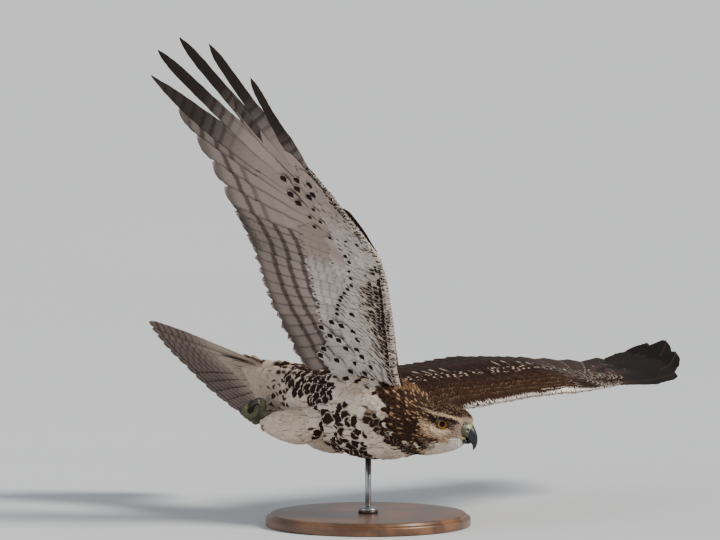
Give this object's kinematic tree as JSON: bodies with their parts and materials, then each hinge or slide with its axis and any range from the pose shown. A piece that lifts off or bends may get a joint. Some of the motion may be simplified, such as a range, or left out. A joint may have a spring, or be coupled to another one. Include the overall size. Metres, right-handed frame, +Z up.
{
  "type": "red-tailed hawk model in flight",
  "caption": "Life-size still model of a young red-tailed hawk in banking flight, wings raised and tail fanned, on a rod and a round base.",
  "frame": {"origin": "middle of the underside of the stand's round base, where it rests on the floor", "axes": "+Z up, +X the way the bird heads over the ground, +Y towards its left"},
  "size_m": [0.5585, 0.8967, 0.6658],
  "materials": {
    "body_feathers": "soft overlapping contour feathers, cream with dark brown spots, matte",
    "head_feathers": "fine brown feathers streaked with buff, matte",
    "wing_feathers": "flight feathers and coverts, dark brown above, pale grey-buff with dark bars below, slight sheen",
    "tail_feathers": "grey-brown to rufous feathers with many narrow dark bars",
    "cere_skin": "waxy greenish yellow skin",
    "bill_horn": "blue-grey to black polished horn",
    "eye": "amber iris with a round black pupil under a clear wet cornea",
    "foot_scales": "dull olive-yellow scaled skin",
    "claw_horn": "black polished horn",
    "base_wood": "dark stained wood, satin varnish",
    "stand_steel": "satin steel"
  },
  "bodies": {
    "root": {"bill_lower": "bill_horn", "bill_upper": "bill_horn", "cere": "cere_skin", "claw_left_1": "claw_horn", "claw_left_2": "claw_horn", "claw_left_3": "claw_horn", "claw_left_4": "claw_horn", "claw_right_1": "claw_horn", "claw_right_2": "claw_horn", "claw_right_3": "claw_horn", "claw_right_4": "claw_horn", "eye_left": "eye", "eye_right": "eye", "foot_left": "foot_scales", "foot_right": "foot_scales", "head": "head_feathers", "leg_left": "body_feathers", "leg_right": "body_feathers", "neck": "body_feathers", "stand_base": "base_wood", "stand_collar": "stand_steel", "stand_rod": "stand_steel", "tail": "tail_feathers", "torso": "body_feathers", "wing_arm_left": "wing_feathers", "wing_arm_right": "wing_feathers", "wing_hand_left": "wing_feathers", "wing_hand_right": "wing_feathers"}
  },
  "joints": []
}
